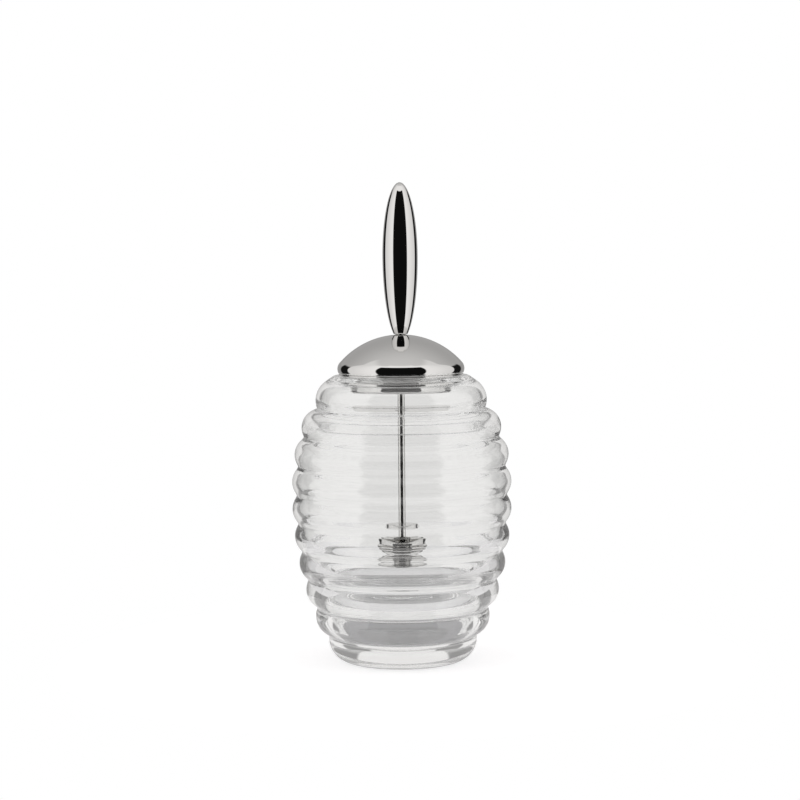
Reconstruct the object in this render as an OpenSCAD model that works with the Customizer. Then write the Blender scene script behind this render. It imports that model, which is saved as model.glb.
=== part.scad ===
// Ribbed glass honey pot with a domed steel lid and a honey dipper that hangs from the lid.
// Sizes are in millimetres. +Z is up, and the origin is the middle of the foot, on the table.
// The glass is a round body of stacked ribs. The lid rests on the lip and plugs the mouth.
// Handle, rod and dipper head turn together in two small bushes in the lid.

/* [Jar] */
// Height of the glass from the table to its lip
jar_h = 124; // [108:1:150]
// Diameter over the widest rib
body_d = 95.4; // [80:0.2:116]
// Width over the top rib as a share of the widest rib's
top_rib_share = 0.778; // [0.7:0.002:0.82]
// Width over the lowest rib as a share of the widest rib's
low_rib_share = 0.797; // [0.7:0.002:0.84]
// Diameter over the foot
foot_d = 64.6; // [54:0.2:72]
// Height of the widest part
belly_z = 72; // [60:1:85]
// Number of ribs above the foot
rib_count = 9; // [7:1:11]
// Depth of the grooves between the ribs, before their bottoms are filled
groove = 2.6; // [2:0.1:3.2]
// Height of the filled bottom of each groove
groove_land = 1.3; // [0.5:0.1:2.5]
// Radius of the foot's round edge
foot_round = 9.8; // [8:0.1:11]
// Height of the lowest rib's middle
first_rib_z = 19.2; // [17:0.1:24]
// Height of the shoulder, from the top rib's middle to the lip
shoulder_h = 10.6; // [9:0.1:14]
// Radius of the shoulder's round edge
shoulder_round = 9.8; // [8:0.1:11]
// Bore of the mouth
mouth_d = 44.6; // [38:0.2:54]
// Width of the flat lip round the mouth
lip_w = 6.9; // [5:0.1:7.4]
// Glass thickness of the lip at the mouth
lip_t = 2.1; // [1.5:0.1:3]
// Glass thickness in the shoulder and the upper ribs
wall = 2.5; // [2.2:0.1:3.5]
// Glass thickness at the third rib from below
heel_t = 4.6; // [3:0.1:8]
// Glass thickness at the second rib from below
bowl_t = 7.5; // [5:0.1:12]
// Glass thickness under the middle of the hollow
floor_t = 10; // [8:0.5:20]
// How far the inner wall swings in and out with the ribs
ripple = 1.7; // [0:0.1:1.9]
// Diameter of the shallow hollow under the foot
punt_d = 40; // [28:1:42]
// Depth of the shallow hollow under the foot
punt_h = 1.2; // [0.5:0.1:3]

/* [Lid] */
// How far the dome's rim reaches beyond the mouth
lid_over = 5.2; // [3.5:0.1:6.2]
// Radius of the dome's sphere
dome_round = 35.2; // [29:0.1:46]
// Radius of the dome's rolled rim
rim_round = 4; // [3:0.1:5]
// How far the rim rolls down below its widest point
rim_drop = 2.1; // [1:0.1:2.5]
// Sheet thickness of the dome
dome_t = 0.9; // [0.6:0.1:1.4]
// Thickness of the pan's flange, which rests on the lip
flange_t = 0.75; // [0.6:0.05:1.2]
// Sheet thickness of the pan
pan_t = 0.8; // [0.6:0.1:1.2]
// How far the plug reaches into the mouth
plug_h = 6.6; // [4:0.1:10]

/* [Dipper] */
// Length of the handle
handle_l = 65.4; // [50:0.2:80]
// Diameter of the handle at its widest
handle_d = 15.2; // [12:0.1:19]
// Height of the handle's widest part above its foot
handle_belly = 33.5; // [26:0.1:40]
// Diameter of the handle's foot
handle_foot_d = 6; // [5.6:0.1:7.5]
// Depth of the hole in the handle
handle_hole = 14; // [8:0.5:20]
// Diameter of the rod
rod_d = 3; // [2.4:0.1:4]
// Diameter of the head's widest ring
head_d = 22; // [16:0.2:28]
// Diameter of the head's end rings
head_end_d = 14; // [10:0.2:16]
// Number of rings on the head
ring_count = 7; // [5:2:11]
// Distance from ring to ring
ring_pitch = 2.8; // [2.4:0.1:3.6]
// Thickness of one ring
ring_t = 1.7; // [1.2:0.1:2]
// Diameter of the core between the rings
core_d = 7; // [6:0.2:9]
// Height of the head's lower end above the floor of the hollow
head_gap = 26.5; // [10:0.5:32]

/* [Fits] */
// Gap between the plug and the mouth
plug_gap = 0.3; // [0.2:0.05:0.8]
// Gap between the lid and the glass lip
seat_gap = 0.1; // [0.05:0.05:0.3]
// Running gap round the rod in the bushes
run_gap = 0.05; // [0.02:0.01:0.1]
// End play of the dipper in the lid
end_play = 0.15; // [0.1:0.05:0.3]
// Gap of a fixed or threaded fit
fixed_gap = 0.02; // [0.01:0.01:0.05]

/* [Hidden] */
$fn = 96;

// Places and radii of the glass
top_rib_z = jar_h - shoulder_h;
rib_pitch = (top_rib_z - first_rib_z) / (rib_count - 1);
body_r = body_d / 2;
mouth_r = mouth_d / 2;
shoulder_full = 2.4;
base_full = 1.9;
foot_z = foot_round - 0.5;
lip_r = mouth_r + lip_w;
rib_round = groove / 2 + pow(rib_pitch, 2) / (8 * groove);
top_round = min(shoulder_round, 0.93 * shoulder_h);
function fall(small, full) = pow(1 - pow(small, 2), 1 / full);
shoulder_reach = (top_rib_z - belly_z) / fall(top_rib_share, shoulder_full);
base_reach = (belly_z - first_rib_z) / fall(low_rib_share, base_full);
function bulge(t, full) = sqrt(max(0, 1 - pow(abs(t), full)));
function rib_z(i) = first_rib_z + i * rib_pitch;
function rib_r(z) = body_r * (z > belly_z
    ? bulge((z - belly_z) / shoulder_reach, shoulder_full)
    : bulge((belly_z - z) / base_reach, base_full));

// Glass between the ribs and the hollow, from the second rib up to the top one. It thins up to the
// belly, and is the same from there to the shoulder.
glass = [bowl_t, heel_t, wall + 0.38 * (heel_t - wall), wall + 0.1 * (heel_t - wall), wall, wall, wall, wall];
bowl_z = rib_z(1);
function glass_no(i) = glass[min(len(glass) - 1, max(0, i))];
function glass_at(z) = let (at = (z - bowl_z) / (top_rib_z - bowl_z) * (len(glass) - 1),
                            i = min(len(glass) - 2, floor(at)), t = at - i,
                            a = glass_no(i - 1), b = glass_no(i), c = glass_no(i + 1), d = glass_no(i + 2))
    b + (c - a) * t / 2 + (2 * a - 5 * b + 4 * c - d) * t * t / 2 + (3 * b - a - 3 * c + d) * pow(t, 3) / 2;

// The inner wall follows the ribs
function ripple_at(z) = ripple / 2 * (cos(360 * (z - first_rib_z) / rib_pitch) - 1);
function hollow_at(z) = rib_r(z) - glass_at(z) + ripple_at(z);
hollow_steps = 6;

// Heights in the lid
lid_z = jar_h + seat_gap;
rim_r = mouth_r + lid_over - rim_round;
rim_z = lid_z + flange_t + rim_drop;
flange_r = rim_r + sqrt(pow(rim_round, 2) - pow(rim_drop, 2));
dome_z = rim_z - sqrt(pow(dome_round - rim_round, 2) - pow(rim_r, 2));
lid_top = dome_z + dome_round;
plug_r = mouth_r - plug_gap;
plug_z = lid_z - plug_h;
function dome_inside(r) = dome_z + sqrt(pow(dome_round - dome_t, 2) - r * r);

// Bushes, washer and nut on the rod
rod_r = rod_d / 2;
bore_r = rod_r + run_gap;
bush_r = rod_r + 1;
bush_flange_r = rod_r + 3;
bush_flange_t = 1;
bush_top = lid_top;
bush_shelf = dome_inside(bush_flange_r) - fixed_gap;
washer_t = 0.5;
washer_z = bush_shelf - bush_flange_t - end_play - washer_t;
nut_t = 2.4;
nut_flats = 5.5 * rod_d / 3;

// Handle, rod and head
handle_z = bush_top + end_play;
handle_r = handle_d / 2;
handle_low = handle_belly / bulge(handle_foot_d / handle_d, 2);
handle_high = handle_l - handle_belly;
head_l = (ring_count - 1) * ring_pitch + ring_t;
head_z = floor_t + head_gap;
head_mid = head_z + head_l / 2;
rod_low = head_z + 2 * ring_pitch;
rod_high = handle_z + handle_hole;
head_reach = (head_l - ring_t) / 2 / fall(head_end_d / head_d, 2);
function ring_z(i) = head_mid + (i - (ring_count - 1) / 2) * ring_pitch;
function ring_r(i) = head_d / 2 * bulge((ring_z(i) - head_mid) / head_reach, 2);

// Points of an arc round [r, z], from angle a to angle b
function arc(r, z, radius, a, b, n) = [for (i = [0:n]) let (t = a + (b - a) * i / n)
    [r + radius * cos(t), z + radius * sin(t)]];

// Outline of the glass as if it were solid. The shoulder falls from the lip in a straight line
// that just cuts into the top rib, and each groove has a filled bottom.
module jar_outline() {
    centre_r = rib_r(top_rib_z) - top_round;
    reach = norm([lip_r - centre_r, shoulder_h]);
    turn = atan2(shoulder_h, lip_r - centre_r) - acos(top_round / reach);
    shoulder = [centre_r + 0.98 * top_round * cos(turn), top_rib_z + 0.98 * top_round * sin(turn)];
    foot_centre = foot_d / 2 - foot_round;
    up = (rib_pitch - groove_land) / 2;
    function flank(i, dz) = let (size = i < rib_count - 1 ? rib_round : top_round)
        [rib_r(rib_z(i)) - size + sqrt(size * size - up * up) - 0.01, rib_z(i) + dz];
    intersection() {
        union() {
            translate([foot_centre, foot_z]) circle(foot_round);
            for (i = [0:rib_count - 2]) translate([rib_r(rib_z(i)) - rib_round, rib_z(i)]) circle(rib_round);
            translate([centre_r, top_rib_z]) circle(top_round);
            polygon(concat([[0, 0], [foot_centre, 0], [foot_centre, foot_z], [rib_r(first_rib_z) - rib_round, first_rib_z]],
                           [for (i = [0:rib_count - 2]) each [flank(i, up), flank(i + 1, -up)]],
                           [[centre_r, top_rib_z], shoulder, [lip_r, jar_h], [0, jar_h]]));
        }
        square([body_d, jar_h]);
    }
}

// The hollow: a round bowl up to the second rib, the ribs, the shoulder's arc and the mouth
module hollow_outline() {
    step = rib_pitch / hollow_steps;
    bowl_r = hollow_at(bowl_z);
    polygon(concat([for (a = [0:9:81]) [bowl_r * sin(a), bowl_z - (bowl_z - floor_t) * cos(a)]],
                   [for (z = [bowl_z:step:top_rib_z - step / 2]) [hollow_at(z), z]],
                   arc(rib_r(top_rib_z) - top_round, top_rib_z, top_round - wall, 0, 75, 6),
                   [[mouth_r + 0.6, jar_h - lip_t], [mouth_r, jar_h - 0.5 * lip_t], [mouth_r, jar_h + 1],
                    [0, jar_h + 1]]));
}

module jar() {
    color([0.93, 0.94, 0.95, 0.35])
    rotate_extrude()
    difference() {
        jar_outline();
        hollow_outline();
        polygon([[0, -1], [punt_d / 2, -1], [punt_d / 2, 0], [punt_d / 2 - 3, punt_h], [0, punt_h]]);
    }
}

// A sheet of even thickness: the dome's sphere, then the rim that rolls in to stand on the pan's flange
module lid_dome() {
    lean = atan2(rim_z - dome_z, rim_r);
    top = acos((bush_r + fixed_gap) / dome_round);
    roll = asin(rim_drop / rim_round);
    roll_inside = asin(rim_drop / (rim_round - dome_t));
    outside = concat(arc(0, dome_z, dome_round, top, lean, 20), arc(rim_r, rim_z, rim_round, lean, -roll, 10));
    inside = concat(arc(rim_r, rim_z, rim_round - dome_t, -roll_inside, lean, 10),
                    arc(0, dome_z, dome_round - dome_t, lean, top, 20));
    color([0.78, 0.78, 0.78])
    rotate_extrude()
    difference() {
        polygon(concat(outside, inside));
        square([bush_r + fixed_gap, 2 * lid_top]);
    }
}

// The pan closes the dome from below. Its flange rests on the lip and its cup plugs the mouth.
module lid_pan() {
    corner = 1.6;
    color([0.7, 0.7, 0.7])
    rotate_extrude()
    polygon(concat([[bush_r + fixed_gap, plug_z + pan_t], [bush_r + fixed_gap, plug_z]],
                   arc(plug_r - corner, plug_z + corner, corner, -90, 0, 4),
                   [[plug_r, lid_z], [flange_r, lid_z], [flange_r, lid_z + flange_t],
                    [plug_r - pan_t, lid_z + flange_t]],
                   arc(plug_r - corner, plug_z + corner, corner - pan_t, 0, -90, 4)));
}

// A flanged bush with its sleeve from z0 to z1 and its flange from z2 up
module bush(z0, z1, z2) {
    color([0.6, 0.6, 0.6])
    difference() {
        union() {
            translate([0, 0, z0]) cylinder(h = z1 - z0, r = bush_r);
            translate([0, 0, z2]) cylinder(h = bush_flange_t, r = bush_flange_r);
        }
        translate([0, 0, z0 - 1]) cylinder(h = z1 - z0 + 2, r = bore_r);
    }
}

module dome_bush() {
    bush(bush_shelf - bush_flange_t, bush_top, bush_shelf - bush_flange_t);
}

module pan_bush() {
    bush(plug_z, plug_z + pan_t + bush_flange_t, plug_z + pan_t);
}

// The handle is a spindle, cut flat at its foot and drilled for the rod
module handle() {
    middle = handle_z + handle_belly;
    low = [for (i = [0:12]) middle - handle_belly * (1 - i / 12)];
    high = [for (a = [9:9:90]) middle + handle_high * sin(a)];
    color([0.8, 0.8, 0.8])
    rotate_extrude()
    difference() {
        polygon(concat([[0, handle_z]],
                       [for (z = low) [handle_r * bulge((middle - z) / handle_low, 2), z]],
                       [for (z = high) [handle_r * bulge((z - middle) / handle_high, 2), z]]));
        translate([0, handle_z - 1]) square([rod_r + fixed_gap, handle_hole + 1]);
    }
}

module thrust_washer() {
    color([0.65, 0.65, 0.65])
    translate([0, 0, washer_z])
    difference() {
        cylinder(h = washer_t, r = bush_flange_r - 0.5);
        translate([0, 0, -1]) cylinder(h = washer_t + 2, r = rod_r + fixed_gap);
    }
}

module lock_nut() {
    color([0.6, 0.6, 0.62])
    translate([0, 0, washer_z - nut_t])
    difference() {
        cylinder(h = nut_t, r = nut_flats / 2 / cos(30), $fn = 6);
        translate([0, 0, -1]) cylinder(h = nut_t + 2, r = rod_r + fixed_gap);
    }
}

module dipper_rod() {
    color([0.75, 0.75, 0.75])
    translate([0, 0, rod_low]) cylinder(h = rod_high - rod_low, r = rod_r);
}

// One turned piece: a core with rings that swell to the middle and honey grooves between them
module dipper_head() {
    bevel = ring_t / 4;
    color([0.77, 0.77, 0.77])
    rotate_extrude()
    difference() {
        union() {
            translate([0, head_z]) square([core_d / 2, head_l]);
            for (i = [0:ring_count - 1]) translate([0, ring_z(i)])
                polygon([[0, -ring_t / 2], [ring_r(i) - bevel, -ring_t / 2], [ring_r(i), bevel - ring_t / 2],
                         [ring_r(i), ring_t / 2 - bevel], [ring_r(i) - bevel, ring_t / 2], [0, ring_t / 2]]);
        }
        translate([0, rod_low]) square([rod_r + fixed_gap, head_l]);
    }
}

jar();
lid_dome();
lid_pan();
dome_bush();
pan_bush();
handle();
thrust_washer();
lock_nut();
dipper_rod();
dipper_head();
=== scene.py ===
"""Ribbed glass honey pot with a domed steel lid and a honey dipper that hangs from the lid.

Every piece is turned round +Z from an outline, in metres, in the frame of the CAD model.
"""

import math

import bmesh
import bpy
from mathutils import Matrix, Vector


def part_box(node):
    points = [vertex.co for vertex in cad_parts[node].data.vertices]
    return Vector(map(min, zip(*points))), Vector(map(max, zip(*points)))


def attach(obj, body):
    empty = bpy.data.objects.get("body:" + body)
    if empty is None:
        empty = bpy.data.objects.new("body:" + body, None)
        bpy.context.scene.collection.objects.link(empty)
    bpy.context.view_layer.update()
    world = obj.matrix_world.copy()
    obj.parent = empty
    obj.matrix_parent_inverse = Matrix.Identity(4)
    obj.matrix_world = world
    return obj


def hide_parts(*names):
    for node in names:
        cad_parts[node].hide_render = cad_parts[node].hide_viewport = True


bl_info = {
    "name": "Honey Pot With Dipper",
    "version": (1, 0, 0),
    "blender": (4, 5, 0),
    "location": "View3D > Sidebar > Honey Pot",
    "description": "Builds a ribbed glass honey pot, its steel lid and its hanging dipper",
    "category": "Add Mesh",
}

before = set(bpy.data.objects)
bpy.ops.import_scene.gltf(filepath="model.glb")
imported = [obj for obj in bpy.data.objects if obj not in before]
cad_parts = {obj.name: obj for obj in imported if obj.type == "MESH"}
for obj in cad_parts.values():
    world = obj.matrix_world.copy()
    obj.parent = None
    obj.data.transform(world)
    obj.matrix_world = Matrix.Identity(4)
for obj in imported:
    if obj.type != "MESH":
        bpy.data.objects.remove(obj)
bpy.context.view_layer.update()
MM = 0.001


def low(node):
    """Lowest point of a CAD node."""
    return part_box(node)[0].z


def high(node):
    """Highest point of a CAD node."""
    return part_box(node)[1].z


def reach(node):
    """Largest radius of a CAD node."""
    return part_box(node)[1].x


def length(label, about, default):
    return bpy.props.FloatProperty(name=label, description=about, default=default,
                                   unit="LENGTH", subtype="DISTANCE", precision=5)


def share(label, about, default):
    return bpy.props.FloatProperty(name=label, description=about, default=default,
                                   min=0.0, max=1.0, subtype="FACTOR")


def colour(label, about, default):
    return bpy.props.FloatVectorProperty(name=label, description=about, default=default,
                                         min=0.0, max=1.0, size=3, subtype="COLOR")


class JarSizes(bpy.types.PropertyGroup):
    height: length("Height", "Table to lip", high("jar"))
    body_radius: length("Body radius", "Radius over the widest rib", 47.7 * MM)
    belly: length("Belly height", "Height of the widest part", 72 * MM)
    top_rib_radius: length("Top rib radius", "Radius over the top rib", 37.1 * MM)
    low_rib_radius: length("Lowest rib radius", "Radius over the lowest rib", 38 * MM)
    top_rib: length("Top rib height", "Height of the top rib's middle", 113.4 * MM)
    low_rib: length("Lowest rib height", "Height of the lowest rib's middle", 19.2 * MM)
    ribs: bpy.props.IntProperty(name="Ribs", description="Ribs above the foot", default=9, min=3)
    groove: length("Groove", "Depth of the grooves between the ribs", 2.6 * MM)
    foot_radius: length("Foot radius", "Radius over the foot", 32.3 * MM)
    foot_round: length("Foot rounding", "Radius of the foot's round edge", 9.8 * MM)
    foot_centre: length("Foot edge height", "Height of the centre of the foot's round edge", 9.3 * MM)
    groove_round: length("Groove rounding", "How far the grooves are filled by their rounding", 0.9 * MM)
    shoulder_round: length("Shoulder rounding", "Radius of the shoulder's round edge", 9.8 * MM)
    lip_radius: length("Lip radius", "Outer radius of the flat lip", 29.2 * MM)
    mouth_radius: length("Mouth radius", "Radius of the mouth", 22.3 * MM)
    lip_glass: length("Lip glass", "Glass thickness of the lip at the mouth", 2.1 * MM)
    wall: length("Wall", "Glass thickness in the shoulder and the upper ribs", 2.5 * MM)
    heel: length("Heel", "Glass thickness at the third rib from below", 4.6 * MM)
    bowl: length("Bowl", "Glass thickness at the second rib from below", 7.5 * MM)
    floor: length("Floor", "Glass thickness under the hollow", 10 * MM)
    ripple: length("Ripple", "How far the inner wall follows the ribs", 1.7 * MM)
    punt_radius: length("Punt radius", "Radius of the hollow under the foot", 20 * MM)
    punt: length("Punt depth", "Depth of the hollow under the foot", 1.2 * MM)
    polish: length("Fire polish", "How far corners and grooves are softened", 0.35 * MM)


class LidSizes(bpy.types.PropertyGroup):
    seat: length("Seat height", "Underside of the lid's flange", 124.1 * MM)
    rim_radius: length("Rim radius", "Radius over the dome's rim", 27.5 * MM)
    dome_round: length("Dome radius", "Radius of the dome's sphere", 35.2 * MM)
    rim_round: length("Rim rounding", "Radius of the rolled rim", 4 * MM)
    rim_drop: length("Rim drop", "How far the rim rolls below its widest point", 2.1 * MM)
    dome_sheet: length("Dome sheet", "Sheet thickness of the dome", 0.9 * MM)
    flange: length("Flange", "Thickness of the pan's flange", 0.75 * MM)
    pan_sheet: length("Pan sheet", "Sheet thickness of the pan", 0.8 * MM)
    plug_radius: length("Plug radius", "Radius of the pan's cup", 22 * MM)
    plug_bottom: length("Plug bottom", "Underside of the pan's cup", 117.5 * MM)


class DipperSizes(bpy.types.PropertyGroup):
    handle_foot: length("Handle foot", "Height of the handle's foot", low("handle"))
    handle_top: length("Handle top", "Height of the handle's tip", high("handle"))
    handle_belly: length("Handle belly", "Height of its widest part above its foot", 33.5 * MM)
    handle_radius: length("Handle radius", "Radius at its widest", 7.6 * MM)
    handle_foot_radius: length("Foot radius", "Radius of the handle's foot", 3 * MM)
    handle_hole: length("Handle hole", "Depth of the hole for the rod", 14 * MM)
    rod_radius: length("Rod radius", "Radius of the rod", 1.5 * MM)
    head_low: length("Head bottom", "Lower end of the head", low("dipper_head"))
    head_high: length("Head top", "Upper end of the head", high("dipper_head"))
    head_radius: length("Head radius", "Radius of the widest ring", 11 * MM)
    head_end: length("End ring radius", "Radius of the end rings", 7 * MM)
    rings: bpy.props.IntProperty(name="Rings", description="Rings on the head", default=7, min=3)
    ring: length("Ring", "Thickness of one ring", 1.7 * MM)
    core: length("Core radius", "Radius of the core between the rings", 3.5 * MM)


class Finishes(bpy.types.PropertyGroup):
    glass: colour("Glass", "Colour of the clear glass", (0.965, 0.97, 0.968))
    steel: colour("Polished steel", "Colour of the polished steel", (0.70, 0.695, 0.685))
    turned: colour("Turned steel", "Colour of the turned steel", (0.60, 0.59, 0.575))
    marks: share("Hairline marks", "Strength of the wiping marks on the steel", 0.35)
    waves: share("Glass waves", "Strength of the glass's slow waves", 0.05)


class StageSettings(bpy.types.PropertyGroup):
    boxes: bpy.props.FloatProperty(name="Side boxes", description="Brightness of the side softboxes",
                                   default=1.1, min=0.0)
    ceiling: bpy.props.FloatProperty(name="Ceiling", description="Brightness of the ceiling",
                                     default=0.77, min=0.0)
    floor: bpy.props.FloatProperty(name="Floor glow", description="Brightness that the floor has of its own",
                                   default=0.72, min=0.0)
    camera_lens: bpy.props.FloatProperty(name="Lens", description="Camera lens in millimetres",
                                         default=92.6, min=1.0)
    camera_away: length("Camera distance", "Distance of the camera from the axis", 0.890)
    camera_high: length("Camera height", "Height of the camera above the table", 0.177)
    camera_down: bpy.props.FloatProperty(name="Camera pitch", description="How far the camera looks down",
                                         default=math.radians(4.1), subtype="ANGLE", unit="ROTATION")
    camera_roll: bpy.props.FloatProperty(name="Camera roll", description="How far the camera leans aside",
                                         default=math.radians(0.45), subtype="ANGLE", unit="ROTATION")


# Outlines

def arc(radius, height, size, start, end, count):
    """Points of an arc round (radius, height), from one angle in degrees to another."""
    turn = [math.radians(start + (end - start) * i / count) for i in range(count + 1)]
    return [(radius + size * math.cos(t), height + size * math.sin(t)) for t in turn]


def spaced(line, step):
    """The same line with evenly spaced points."""
    run = [0.0]
    for (r0, z0), (r1, z1) in zip(line, line[1:]):
        run.append(run[-1] + math.hypot(r1 - r0, z1 - z0))
    count = max(2, round(run[-1] / step))
    made, at = [], 0
    for i in range(count + 1):
        want = run[-1] * i / count
        while at < len(run) - 2 and run[at + 1] < want:
            at += 1
        part = (want - run[at]) / max(run[at + 1] - run[at], 1e-12)
        made.append(tuple(a + (b - a) * part for a, b in zip(line[at], line[at + 1])))
    return made


def softened(line, width, closed=False):
    """The line with its corners rounded over about that width."""
    step = width / 3
    fine = spaced(line + line[:1] if closed else line, step)
    if closed:
        fine = fine[:-1]
    weights = [math.exp(-0.5 * (k / 3) ** 2) for k in range(-8, 9)]
    made = []
    for i in range(len(fine)):
        total = r = z = 0.0
        for k, weight in zip(range(-8, 9), weights):
            j = (i + k) % len(fine) if closed else min(max(i + k, 0), len(fine) - 1)
            r, z, total = r + weight * fine[j][0], z + weight * fine[j][1], total + weight
        made.append((r / total, z / total))
    if not closed:
        made[0], made[-1] = line[0], line[-1]
    return made


def bulge(part, full):
    return math.sqrt(max(0.0, 1 - abs(part) ** full))


def fall(small, full):
    return (1 - small * small) ** (1 / full)


class JarShape:
    """The outline of the glass, outside and inside."""

    shoulder_full = 2.4
    base_full = 1.9

    def __init__(self, sizes):
        self.s = s = sizes
        self.pitch = (s.top_rib - s.low_rib) / (s.ribs - 1)
        self.rib_round = s.groove / 2 + self.pitch ** 2 / (8 * s.groove)
        self.up = (s.top_rib - s.belly) / fall(s.top_rib_radius / s.body_radius, self.shoulder_full)
        self.down = (s.belly - s.low_rib) / fall(s.low_rib_radius / s.body_radius, self.base_full)
        self.bowl_top = s.low_rib + self.pitch
        more = s.heel - s.wall
        self.glass = [s.bowl, s.heel, s.wall + 0.38 * more, s.wall + 0.1 * more] + [s.wall] * 4

    def rib_radius(self, z):
        s = self.s
        if z > s.belly:
            return s.body_radius * bulge((z - s.belly) / self.up, self.shoulder_full)
        return s.body_radius * bulge((s.belly - z) / self.down, self.base_full)

    def thickness(self, z):
        """Glass between the ribs and the hollow, eased from each value to the next."""
        last = len(self.glass) - 1
        at = min(max((z - self.bowl_top) / (self.s.top_rib - self.bowl_top) * last, 0), last)
        i = min(int(at), last - 1)
        t = at - i
        a, b, c, d = (self.glass[min(max(j, 0), last)] for j in range(i - 1, i + 3))
        return (b + (c - a) * t / 2 + (2 * a - 5 * b + 4 * c - d) * t ** 2 / 2
                + (3 * b - a - 3 * c + d) * t ** 3 / 2)

    def hollow(self, z):
        """Radius of the hollow, whose wall follows the ribs."""
        s = self.s
        swing = s.ripple / 2 * (math.cos(math.tau * (z - s.low_rib) / self.pitch) - 1)
        return self.rib_radius(z) - self.thickness(z) + swing

    def outside(self):
        """From the middle of the hollow under the foot, over the ribs, to the mouth's edge."""
        s = self.s
        edge = s.foot_radius - s.foot_round
        flat = math.sqrt(s.foot_round ** 2 - s.foot_centre ** 2)
        start = math.degrees(math.asin(-s.foot_centre / s.foot_round))
        line = [(0, s.punt), (s.punt_radius - 3 * MM, s.punt), (s.punt_radius, 0), (edge + flat, 0)]
        ribs = [(self.rib_radius(z) - self.rib_round, z, self.rib_round)
                for z in (s.low_rib + i * self.pitch for i in range(s.ribs))]
        ribs[-1] = (ribs[-1][0] + self.rib_round - s.shoulder_round, s.top_rib, s.shoulder_round)
        foot = arc(edge, s.foot_centre, s.foot_round, start, 0, 80)
        line += foot
        ribs = [(edge, s.foot_centre, s.foot_round)] + ribs
        centre, height, size = ribs[-1]
        away = math.hypot(s.lip_radius - centre, s.height - height)
        turn = math.atan2(s.height - height, s.lip_radius - centre) - math.acos(size / away)
        shoulder = height + size * math.sin(turn)
        z = s.foot_centre + 0.1 * MM
        while z < shoulder:
            near = [r + math.sqrt(n * n - (z - h) ** 2) for r, h, n in ribs if abs(z - h) < n]
            most = max(near)
            line.append((most + s.groove_round
                         * math.log(sum(math.exp((r - most) / s.groove_round) for r in near)), z))
            z += 0.1 * MM
        return line + [(s.lip_radius, s.height), (s.mouth_radius, s.height)]

    def inside(self):
        """From the mouth's edge down the hollow to the middle of its floor."""
        s = self.s
        line = [(s.mouth_radius, s.height), (s.mouth_radius, s.height - 0.5 * s.lip_glass),
                (s.mouth_radius + 0.6 * MM, s.height - s.lip_glass)]
        line += arc(self.rib_radius(s.top_rib) - s.shoulder_round, s.top_rib,
                    s.shoulder_round - s.wall, 78, 0, 60)
        steps = 900
        line += [(self.hollow(z), z)
                 for z in (s.top_rib - (s.top_rib - self.bowl_top) * i / steps for i in range(1, steps + 1))]
        reach_in, drop = self.hollow(self.bowl_top), self.bowl_top - s.floor
        quarter = [math.radians(i) for i in range(1, 91)]
        line += [(reach_in * math.cos(t), self.bowl_top - drop * math.sin(t)) for t in quarter]
        return line[:-1] + [(0, s.floor)]

    def outline(self):
        outer, inner = self.outside(), self.inside()
        whole = softened(outer + inner[1:], self.s.polish)
        split = max(range(len(whole)), key=lambda i: whole[i][1])
        return spaced(whole[:split + 1], 0.76 * MM) + spaced(whole[split:], 1.0 * MM)[1:]


# Meshes

def place(name, mesh, body, nodes, material):
    piece = bpy.data.objects.new(name, mesh)
    bpy.context.scene.collection.objects.link(piece)
    mesh.materials.append(material)
    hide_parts(*nodes)
    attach(piece, body)
    return piece


def finished_mesh(name, form, crease=None):
    bmesh.ops.remove_doubles(form, verts=form.verts, dist=1e-7)
    bmesh.ops.recalc_face_normals(form, faces=form.faces)
    if not form.faces:
        form.free()
        raise RuntimeError(f"{name} came out with no faces")
    for face in form.faces:
        face.smooth = True
    mesh = bpy.data.meshes.new(name)
    form.to_mesh(mesh)
    form.free()
    if crease is not None:
        mesh.set_sharp_from_angle(angle=math.radians(crease))
    return mesh


def turned(name, line, steps, closed=False, crease=None):
    """A solid turned round +Z. Its outline starts and ends on the axis, or closes on itself."""
    form = bmesh.new()
    points = [form.verts.new((r, 0, z)) for r, z in line]
    pairs = list(zip(points, points[1:])) + ([(points[-1], points[0])] if closed else [])
    edges = [form.edges.new(pair) for pair in pairs]
    bmesh.ops.spin(form, geom=points + edges, cent=(0, 0, 0), axis=(0, 0, 1), dvec=(0, 0, 0),
                   angle=math.tau, steps=steps, use_merge=True, use_normal_flip=False,
                   use_duplicate=False)
    return finished_mesh(name, form, crease)


# Materials

def node(tree, kind, **settings):
    made = tree.nodes.new(kind)
    for key, value in settings.items():
        setattr(made, key, value)
    return made


def feed(tree, value, socket):
    if isinstance(value, bpy.types.NodeSocket):
        tree.links.new(value, socket)
    else:
        socket.default_value = value


def maths(tree, operation, first, second=None, clamp=False):
    made = node(tree, "ShaderNodeMath", operation=operation, use_clamp=clamp)
    feed(tree, first, made.inputs[0])
    if second is not None:
        feed(tree, second, made.inputs[1])
    return made.outputs[0]


def noise(tree, place_at, scale, detail=2.0, rough=0.5):
    made = node(tree, "ShaderNodeTexNoise", noise_dimensions="3D")
    feed(tree, place_at, made.inputs["Vector"])
    made.inputs["Scale"].default_value = scale
    made.inputs["Detail"].default_value = detail
    made.inputs["Roughness"].default_value = rough
    return made.outputs["Fac"]


def ranged(tree, value, start, end, new_start=0.0, new_end=1.0):
    made = node(tree, "ShaderNodeMapRange", interpolation_type="SMOOTHSTEP")
    feed(tree, value, made.inputs["Value"])
    for key, number in zip(("From Min", "From Max", "To Min", "To Max"),
                           (start, end, new_start, new_end)):
        feed(tree, number, made.inputs[key])
    return made.outputs["Result"]


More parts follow.
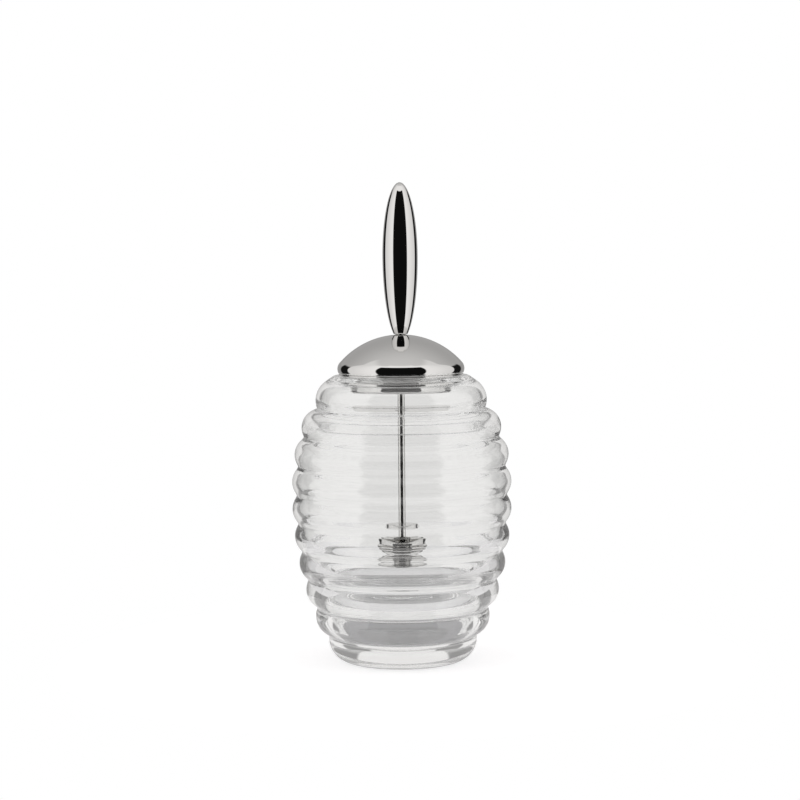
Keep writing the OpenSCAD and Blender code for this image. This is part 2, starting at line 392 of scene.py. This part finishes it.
def effect(name, inputs, outputs):
    """An empty shader node group with those sockets."""
    made = bpy.data.node_groups.new(name, "ShaderNodeTree")
    for label, kind, default in inputs:
        socket = made.interface.new_socket(name=label, in_out="INPUT", socket_type=kind)
        if default is not None:
            socket.default_value = default
    for label, kind in outputs:
        made.interface.new_socket(name=label, in_out="OUTPUT", socket_type=kind)
    return made, node(made, "NodeGroupInput"), node(made, "NodeGroupOutput")


def polishing_marks():
    """Fine rings left by turning and polishing, and short hairlines from wiping."""
    name = "Polishing marks"
    if name in bpy.data.node_groups:
        return bpy.data.node_groups[name]
    tree, given, result = effect(name, [("Vector", "NodeSocketVector", None),
                                        ("Strength", "NodeSocketFloat", 0.5)],
                                 [("Height", "NodeSocketFloat"), ("Wear", "NodeSocketFloat")])
    parts = node(tree, "ShaderNodeSeparateXYZ")
    tree.links.new(given.outputs["Vector"], parts.inputs[0])
    x, y, z = parts.outputs
    radius = maths(tree, "SQRT", maths(tree, "ADD", maths(tree, "MULTIPLY", x, x), maths(tree, "MULTIPLY", y, y)))
    round_about = node(tree, "ShaderNodeCombineXYZ")
    feed(tree, maths(tree, "MULTIPLY", radius, 900.0), round_about.inputs[0])
    feed(tree, maths(tree, "MULTIPLY", z, 900.0), round_about.inputs[1])
    feed(tree, maths(tree, "MULTIPLY", maths(tree, "ARCTAN2", x, y), 0.8), round_about.inputs[2])
    rings = noise(tree, round_about.outputs[0], 3.0, 3.0, 0.6)
    hair = node(tree, "ShaderNodeMapping")
    tree.links.new(given.outputs["Vector"], hair.inputs["Vector"])
    hair.inputs["Rotation"].default_value = (0.5, 0.3, 0.8)
    hair.inputs["Scale"].default_value = (3200.0, 180.0, 180.0)
    wipes = ranged(tree, noise(tree, hair.outputs["Vector"], 1.0, 2.0, 0.55), 0.62, 0.78)
    patches = ranged(tree, noise(tree, given.outputs["Vector"], 70.0, 3.0), 0.4, 0.7)
    worn = maths(tree, "MULTIPLY", wipes, patches)
    height = maths(tree, "ADD", maths(tree, "MULTIPLY", rings, 0.35), worn)
    feed(tree, maths(tree, "MULTIPLY", height, given.outputs["Strength"]), result.inputs["Height"])
    feed(tree, maths(tree, "MULTIPLY", patches, given.outputs["Strength"]), result.inputs["Wear"])
    return tree


def handled_film():
    """Faint cloudy film left by handling, as a roughness and a tint mask."""
    name = "Handled film"
    if name in bpy.data.node_groups:
        return bpy.data.node_groups[name]
    tree, given, result = effect(name, [("Vector", "NodeSocketVector", None),
                                        ("Amount", "NodeSocketFloat", 0.5)],
                                 [("Film", "NodeSocketFloat")])
    cloud = ranged(tree, noise(tree, given.outputs["Vector"], 38.0, 5.0, 0.6), 0.42, 0.75)
    streak = ranged(tree, noise(tree, given.outputs["Vector"], 150.0, 3.0), 0.35, 0.8)
    film = maths(tree, "MULTIPLY", cloud, streak)
    feed(tree, maths(tree, "MULTIPLY", film, given.outputs["Amount"]), result.inputs["Film"])
    return tree


def placed(tree, group, **values):
    made = node(tree, "ShaderNodeGroup", node_tree=group)
    for label, value in values.items():
        feed(tree, value, made.inputs[label])
    return made


def blank(name):
    material = bpy.data.materials.new(name)
    material.use_nodes = True
    tree = material.node_tree
    shader = next(n for n in tree.nodes if n.type == "BSDF_PRINCIPLED")
    where = node(tree, "ShaderNodeTexCoord").outputs["Object"]
    return material, tree, shader, where


def between(tree, mask, first, second):
    """One colour where the mask is 0, the other where it is 1."""
    made = node(tree, "ShaderNodeMix", data_type="RGBA")
    feed(tree, mask, made.inputs["Factor"])
    made.inputs[6].default_value = (*first, 1)
    made.inputs[7].default_value = (*second, 1)
    return made.outputs[2]


def bumped(tree, height, distance, shader):
    made = node(tree, "ShaderNodeBump")
    made.inputs["Strength"].default_value = 1.0
    made.inputs["Distance"].default_value = distance
    feed(tree, height, made.inputs["Height"])
    feed(tree, made.outputs["Normal"], shader.inputs["Normal"])


def steel(name, tone, roughness, marks, film):
    """Steel with polishing marks and a faint handled film."""
    if name in bpy.data.materials:
        return bpy.data.materials[name]
    material, tree, shader, where = blank(name)
    worn = placed(tree, polishing_marks(), Vector=where, Strength=marks)
    cloudy = placed(tree, handled_film(), Vector=where, Amount=film)
    shader.inputs["Metallic"].default_value = 1.0
    dull = [0.93 * part for part in tone]
    feed(tree, between(tree, cloudy.outputs["Film"], tone, dull), shader.inputs["Base Color"])
    rough = maths(tree, "ADD", maths(tree, "MULTIPLY", worn.outputs["Wear"], 0.03), roughness)
    rough = maths(tree, "ADD", rough, maths(tree, "MULTIPLY", cloudy.outputs["Film"], 0.06))
    feed(tree, rough, shader.inputs["Roughness"])
    bumped(tree, worn.outputs["Height"], 0.000004, shader)
    return material


def pressed_glass(tone, waves):
    """Clear glass with the slow waves of pressed ware."""
    name = "Clear pressed glass"
    if name in bpy.data.materials:
        return bpy.data.materials[name]
    material, tree, shader, where = blank(name)
    cloudy = placed(tree, handled_film(), Vector=where, Amount=0.4)
    dull = [0.985 * part for part in tone]
    feed(tree, between(tree, cloudy.outputs["Film"], tone, dull), shader.inputs["Base Color"])
    shader.inputs["Roughness"].default_value = 0.0
    shader.inputs["IOR"].default_value = 1.5
    shader.inputs["Transmission Weight"].default_value = 1.0
    slow = noise(tree, where, 60.0, 1.0)
    fine = maths(tree, "MULTIPLY", noise(tree, where, 190.0, 2.0), 0.25)
    height = maths(tree, "MULTIPLY", maths(tree, "ADD", slow, fine), waves)
    bumped(tree, height, 0.0002, shader)
    return material


class HONEYPOT_OT_jar(bpy.types.Operator):
    """Build the ribbed glass jar"""
    bl_idname = "honeypot.jar"
    bl_label = "Ribbed Jar"

    def execute(self, context):
        finish = context.scene.honeypot_finishes
        outline = JarShape(context.scene.honeypot_jar).outline()
        mesh = turned("ribbed_jar", outline, 208)
        place("ribbed_jar", mesh, "jar", ["jar"], pressed_glass(finish.glass, finish.waves))
        return {"FINISHED"}


def polished(context):
    finish = context.scene.honeypot_finishes
    return steel("Polished steel", finish.steel, 0.02, finish.marks, 0.4)


def bright(context):
    """Steel that hangs in the jar and is hardly handled."""
    finish = context.scene.honeypot_finishes
    return steel("Bright steel", finish.steel, 0.01, 0.1, 0.15)


def machined(context):
    finish = context.scene.honeypot_finishes
    return steel("Turned steel", finish.turned, 0.16, 1.0, 0.6)


class HONEYPOT_OT_dome(bpy.types.Operator):
    """Build the dome of the lid with its rolled rim"""
    bl_idname = "honeypot.dome"
    bl_label = "Lid Dome"

    def execute(self, context):
        s = context.scene.honeypot_lid
        hole = reach("dome_bush") and 2.52 * MM
        rim = s.rim_radius - s.rim_round
        height = s.seat + s.flange + s.rim_drop
        centre = height - math.sqrt((s.dome_round - s.rim_round) ** 2 - rim ** 2)
        lean = math.degrees(math.atan2(height - centre, rim))
        inner = s.rim_round - s.dome_sheet
        top = math.degrees(math.acos(hole / s.dome_round))
        top_inside = math.degrees(math.acos(hole / (s.dome_round - s.dome_sheet)))
        roll = math.degrees(math.asin(s.rim_drop / s.rim_round))
        roll_inside = math.degrees(math.asin(s.rim_drop / inner))
        line = (arc(0, centre, s.dome_round, top, lean, 60)
                + arc(rim, height, s.rim_round, lean, -roll, 30)[1:]
                + arc(rim, height, inner, -roll_inside, lean, 24)
                + arc(0, centre, s.dome_round - s.dome_sheet, lean, top_inside, 50)[1:])
        mesh = turned("dome_cap", spaced(softened(line, 0.12 * MM, True), 0.3 * MM), 192, True)
        place("dome_cap", mesh, "lid", ["lid_dome"], polished(context))
        return {"FINISHED"}


class HONEYPOT_OT_pan(bpy.types.Operator):
    """Build the pan that closes the dome and plugs the mouth"""
    bl_idname = "honeypot.pan"
    bl_label = "Lid Pan"

    def execute(self, context):
        s = context.scene.honeypot_lid
        hole = 2.52 * MM
        corner = 1.6 * MM
        rim = s.rim_radius - s.rim_round
        edge = rim + math.sqrt(s.rim_round ** 2 - s.rim_drop ** 2)
        line = ([(hole, s.plug_bottom + s.pan_sheet), (hole, s.plug_bottom)]
                + arc(s.plug_radius - corner, s.plug_bottom + corner, corner, -90, 0, 12)
                + [(s.plug_radius, s.seat), (edge, s.seat), (edge, s.seat + s.flange),
                   (s.plug_radius - s.pan_sheet, s.seat + s.flange)]
                + arc(s.plug_radius - corner, s.plug_bottom + corner, corner - s.pan_sheet, 0, -90, 8))
        mesh = turned("mouth_pan", spaced(softened(line, 0.12 * MM, True), 0.35 * MM), 160, True)
        place("mouth_pan", mesh, "lid", ["lid_pan"], polished(context))
        return {"FINISHED"}


class HONEYPOT_OT_bushes(bpy.types.Operator):
    """Build the two bushes that the rod turns in"""
    bl_idname = "honeypot.bushes"
    bl_label = "Lid Bushes"

    def execute(self, context):
        bore, sleeve = 1.55 * MM, 2.5 * MM
        for name, cad, flange_up in (("upper_bush", "dome_bush", False), ("lower_bush", "pan_bush", True)):
            bottom, top, edge = low(cad), high(cad), reach(cad)
            z0, z1 = (top - MM, top) if flange_up else (bottom, bottom + MM)
            if flange_up:
                line = [(bore, bottom), (sleeve, bottom), (sleeve, z0), (edge, z0), (edge, z1), (bore, z1)]
            else:
                line = [(bore, bottom), (edge, z0), (edge, z1), (sleeve, z1), (sleeve, top), (bore, top)]
            mesh = turned(name, spaced(softened(line, 0.08 * MM, True), 0.16 * MM), 72, True)
            place(name, mesh, "lid", [cad], machined(context))
        return {"FINISHED"}


class HONEYPOT_OT_handle(bpy.types.Operator):
    """Build the spindle handle"""
    bl_idname = "honeypot.handle"
    bl_label = "Handle"

    def execute(self, context):
        s = context.scene.honeypot_dipper
        middle = s.handle_foot + s.handle_belly
        stretch = s.handle_belly / bulge(s.handle_foot_radius / s.handle_radius, 2)
        hole = s.rod_radius + 0.02 * MM
        line = [(0, s.handle_foot + s.handle_hole), (hole, s.handle_foot + s.handle_hole),
                (hole, s.handle_foot)]
        line += [(s.handle_radius * bulge(s.handle_belly * (1 - i / 80) / stretch, 2),
                  s.handle_foot + s.handle_belly * i / 80) for i in range(81)]
        upper = s.handle_top - middle
        line += [(s.handle_radius * math.cos(math.radians(i)), middle + upper * math.sin(math.radians(i)))
                 for i in range(1, 90)]
        line.append((0, s.handle_top))
        mesh = turned("spindle_handle", spaced(softened(line, 0.12 * MM), 0.5 * MM), 96)
        place("spindle_handle", mesh, "dipper", ["handle"], polished(context))
        return {"FINISHED"}


class HONEYPOT_OT_rod(bpy.types.Operator):
    """Build the rod with its washer and nut"""
    bl_idname = "honeypot.rod"
    bl_label = "Rod, Washer And Nut"

    def execute(self, context):
        s = context.scene.honeypot_dipper
        bottom, top = low("dipper_rod"), high("dipper_rod")
        line = [(0, bottom), (s.rod_radius, bottom), (s.rod_radius, top), (0, top)]
        mesh = turned("hanging_rod", spaced(softened(line, 0.1 * MM), 0.8 * MM), 48)
        place("hanging_rod", mesh, "dipper", ["dipper_rod"], bright(context))
        bore = s.rod_radius + 0.02 * MM
        bottom, top, edge = low("thrust_washer"), high("thrust_washer"), reach("thrust_washer")
        line = [(bore, bottom), (edge, bottom), (edge, top), (bore, top)]
        mesh = turned("slip_washer", spaced(softened(line, 0.05 * MM, True), 0.1 * MM), 64, True)
        place("slip_washer", mesh, "dipper", ["thrust_washer"], machined(context))
        self.nut(context, bore)
        return {"FINISHED"}

    def nut(self, context, bore):
        """A hexagon with chamfered corners and a hole for the rod."""
        bottom, top, edge = low("lock_nut"), high("lock_nut"), reach("lock_nut")
        form = bmesh.new()
        rings = [bmesh.ops.create_circle(form, segments=6, radius=size)["verts"] for size in (edge, bore)]
        for ring in rings:
            bmesh.ops.translate(form, vec=(0, 0, bottom), verts=ring)
        bmesh.ops.bridge_loops(form, edges=form.edges)
        faces = bmesh.ops.extrude_face_region(form, geom=form.faces[:])["geom"]
        bmesh.ops.translate(form, vec=(0, 0, top - bottom),
                            verts=[v for v in faces if isinstance(v, bmesh.types.BMVert)])
        outer = [e for e in form.edges
                 if all(math.hypot(v.co.x, v.co.y) > 0.9 * edge for v in e.verts)]
        bmesh.ops.bevel(form, geom=outer, offset=0.25 * MM, affect="EDGES", segments=3,
                        profile=0.5, material=-1)
        mesh = finished_mesh("retaining_nut", form, 25)
        place("retaining_nut", mesh, "dipper", ["lock_nut"], machined(context))


class HONEYPOT_OT_head(bpy.types.Operator):
    """Build the ringed dipper head"""
    bl_idname = "honeypot.head"
    bl_label = "Dipper Head"

    def execute(self, context):
        s = context.scene.honeypot_dipper
        middle = (s.head_low + s.head_high) / 2
        pitch = (s.head_high - s.head_low - s.ring) / (s.rings - 1)
        end = (s.head_high - s.head_low - s.ring) / 2 / fall(s.head_end / s.head_radius, 2)
        bottom = low("dipper_rod")
        line = [(0, bottom), (s.rod_radius + 0.02 * MM, bottom), (s.rod_radius + 0.02 * MM, s.head_high)]
        for i in reversed(range(s.rings)):
            z = middle + (i - (s.rings - 1) / 2) * pitch
            r = s.head_radius * bulge((z - middle) / end, 2)
            half, round_off = s.ring / 2, 0.25 * MM
            if i < s.rings - 1:
                line.append((s.core, z + half))
            line += arc(r - round_off, z + half - round_off, round_off, 90, 0, 5)
            line += arc(r - round_off, z - half + round_off, round_off, 0, -90, 5)
            if i:
                line.append((s.core, z - half))
        line.append((0, s.head_low))
        mesh = turned("honey_head", spaced(softened(line, 0.15 * MM), 0.28 * MM), 128)
        place("honey_head", mesh, "dipper", ["dipper_head"], bright(context))
        return {"FINISHED"}


class HONEYPOT_OT_stage(bpy.types.Operator):
    """Build the floor, the studio light and the camera"""
    bl_idname = "honeypot.stage"
    bl_label = "Floor, Light And Camera"

    def execute(self, context):
        settings = context.scene.honeypot_stage
        self.floor(settings)
        self.light(context, settings)
        view = bpy.data.cameras.new("Camera")
        view.lens = settings.camera_lens
        view.sensor_width = 36.0
        view.clip_start, view.clip_end = 0.05, 50.0
        camera = bpy.data.objects.new("Camera", view)
        camera.location = (0, -settings.camera_away, settings.camera_high)
        camera.rotation_euler = (math.pi / 2 - settings.camera_down, settings.camera_roll, 0)
        context.scene.collection.objects.link(camera)
        context.scene.camera = camera
        context.scene.view_settings.view_transform = "Standard"
        # Light that the ribs trap needs many reflections to get out; cut short, it shows as black
        paths = context.scene.cycles
        paths.max_bounces, paths.glossy_bounces, paths.transmission_bounces = 40, 32, 32
        return {"FINISHED"}

    def floor(self, settings):
        """A pale table top that keeps a soft contact shadow. Seen in the glass and the steel, its own glow is
        dimmer near the pot and brighter further out, a painted contact shadow.
        """
        form = bmesh.new()
        bmesh.ops.create_circle(form, cap_ends=True, segments=128, radius=0.15)
        mesh = finished_mesh("floor", form)
        material = bpy.data.materials.new("Pale table")
        material.use_nodes = True
        tree = material.node_tree
        shader = next(n for n in tree.nodes if n.type == "BSDF_PRINCIPLED")
        shader.inputs["Base Color"].default_value = (0.6, 0.59, 0.6, 1)
        shader.inputs["Roughness"].default_value = 0.9
        shader.inputs["Specular IOR Level"].default_value = 0.0
        path = node(tree, "ShaderNodeLightPath")
        seen = maths(tree, "MAXIMUM", path.outputs["Is Glossy Ray"], path.outputs["Is Transmission Ray"])
        shader.inputs["Emission Color"].default_value = (1, 1, 1, 1)
        where = node(tree, "ShaderNodeTexCoord").outputs["Object"]
        away = node(tree, "ShaderNodeVectorMath", operation="LENGTH")
        tree.links.new(where, away.inputs[0])
        # Painted shade: for rays from the glass and the steel, the floor's own glow is dimmer close to the pot's
        # axis, a painted contact shadow
        under = ranged(tree, away.outputs["Value"], 0.030, 0.075, 0.2, 0.42)
        glow = maths(tree, "ADD", maths(tree, "MULTIPLY", path.outputs["Is Camera Ray"], settings.floor),
                     maths(tree, "MULTIPLY", seen, under))
        feed(tree, glow, shader.inputs["Emission Strength"])
        mesh.materials.append(material)
        floor = bpy.data.objects.new("floor", mesh)
        bpy.context.scene.collection.objects.link(floor)

    def light(self, context, settings):
        """A studio round the pot: dark room behind the camera, a softbox on either side with a
        dark gap behind it, a white wall behind the pot and a grey ceiling."""
        world = bpy.data.worlds.new("Studio")
        context.scene.world = world
        world.use_nodes = True
        tree = world.node_tree
        back = next(n for n in tree.nodes if n.type == "BACKGROUND")
        parts = node(tree, "ShaderNodeSeparateXYZ")
        tree.links.new(node(tree, "ShaderNodeTexCoord").outputs["Generated"], parts.inputs[0])
        x, y, z = parts.outputs
        round_about = maths(tree, "MULTIPLY",
                            maths(tree, "ARCTAN2", maths(tree, "ABSOLUTE", x),
                                  maths(tree, "MULTIPLY", y, -1.0)), 180 / math.pi)
        upward = maths(tree, "MULTIPLY", maths(tree, "ARCSINE", z), 180 / math.pi)

        def lerp(mask, first, second):
            rest = maths(tree, "SUBTRACT", 1.0, mask)
            return maths(tree, "ADD", maths(tree, "MULTIPLY", first, rest),
                         maths(tree, "MULTIPLY", second, mask))

        path = node(tree, "ShaderNodeLightPath")
        through = path.outputs["Is Transmission Ray"]
        rib_only = maths(tree, "LESS_THAN", path.outputs["Transmission Depth"], 3.0)
        ceiling = lerp(ranged(tree, y, -0.3, 0.95), settings.ceiling, settings.ceiling * 0.58)
        box = maths(tree, "MULTIPLY", ranged(tree, round_about, 50, 117, 1.0, 0.8), settings.boxes)
        top = lerp(through, 47.0, 40.0)
        front = lerp(ranged(tree, upward, top, maths(tree, "ADD", top, 3.0)), 0.006,
                     lerp(through, box, ceiling))
        front = lerp(ranged(tree, upward, 70, 76), front, ceiling)
        sides = lerp(ranged(tree, upward, lerp(through, 60.0, 48.0), lerp(through, 70.0, 60.0)),
                     box, ceiling)
        gap = lerp(through, 0.01, lerp(rib_only, 0.04, 0.3))
        gap = lerp(ranged(tree, upward, lerp(through, 20.0, 12.0), lerp(through, 28.0, 18.0)), gap, ceiling)
        tall = lerp(through, ranged(tree, upward, 10, 16), ranged(tree, upward, 60, 70))
        wall = lerp(tall, lerp(through, 0.38, 0.86), ceiling)
        level = lerp(ranged(tree, round_about, 45, 48), front, sides)
        level = lerp(ranged(tree, round_about, lerp(through, 111.0, 117.0), lerp(through, 114.0, 119.0)),
                     level, gap)
        level = lerp(ranged(tree, round_about, lerp(through, 138.0, 151.0), lerp(through, 144.0, 154.0)),
                     level, wall)
        seen = path.outputs["Is Camera Ray"]
        feed(tree, lerp(seen, level, 1.0), back.inputs["Strength"])
        tint = node(tree, "ShaderNodeMix", data_type="RGBA")
        feed(tree, seen, tint.inputs["Factor"])
        tint.inputs[6].default_value = (1, 0.985, 0.975, 1)
        tint.inputs[7].default_value = (1, 1, 1, 1)
        feed(tree, tint.outputs[2], back.inputs["Color"])


PIECES = (HONEYPOT_OT_jar, HONEYPOT_OT_dome, HONEYPOT_OT_pan, HONEYPOT_OT_bushes,
          HONEYPOT_OT_handle, HONEYPOT_OT_rod, HONEYPOT_OT_head, HONEYPOT_OT_stage)


class HONEYPOT_PT_sidebar(bpy.types.Panel):
    """Buttons for every piece of the honey pot"""
    bl_idname = "HONEYPOT_PT_sidebar"
    bl_label = "Honey Pot"
    bl_space_type = "VIEW_3D"
    bl_region_type = "UI"
    bl_category = "Honey Pot"

    def draw(self, context):
        for piece in PIECES:
            self.layout.operator(piece.bl_idname)


GROUPS = {"honeypot_jar": JarSizes, "honeypot_lid": LidSizes, "honeypot_dipper": DipperSizes,
          "honeypot_finishes": Finishes, "honeypot_stage": StageSettings}


def register():
    for name, group in GROUPS.items():
        bpy.utils.register_class(group)
        setattr(bpy.types.Scene, name, bpy.props.PointerProperty(type=group))
    for made in (*PIECES, HONEYPOT_PT_sidebar):
        bpy.utils.register_class(made)


def unregister():
    for made in reversed((*PIECES, HONEYPOT_PT_sidebar)):
        bpy.utils.unregister_class(made)
    for name, group in reversed(GROUPS.items()):
        delattr(bpy.types.Scene, name)
        bpy.utils.unregister_class(group)


def main():
    register()
    for piece in PIECES:
        area, name = piece.bl_idname.split(".")
        getattr(getattr(bpy.ops, area), name)()


if __name__ == "__main__":
    main()
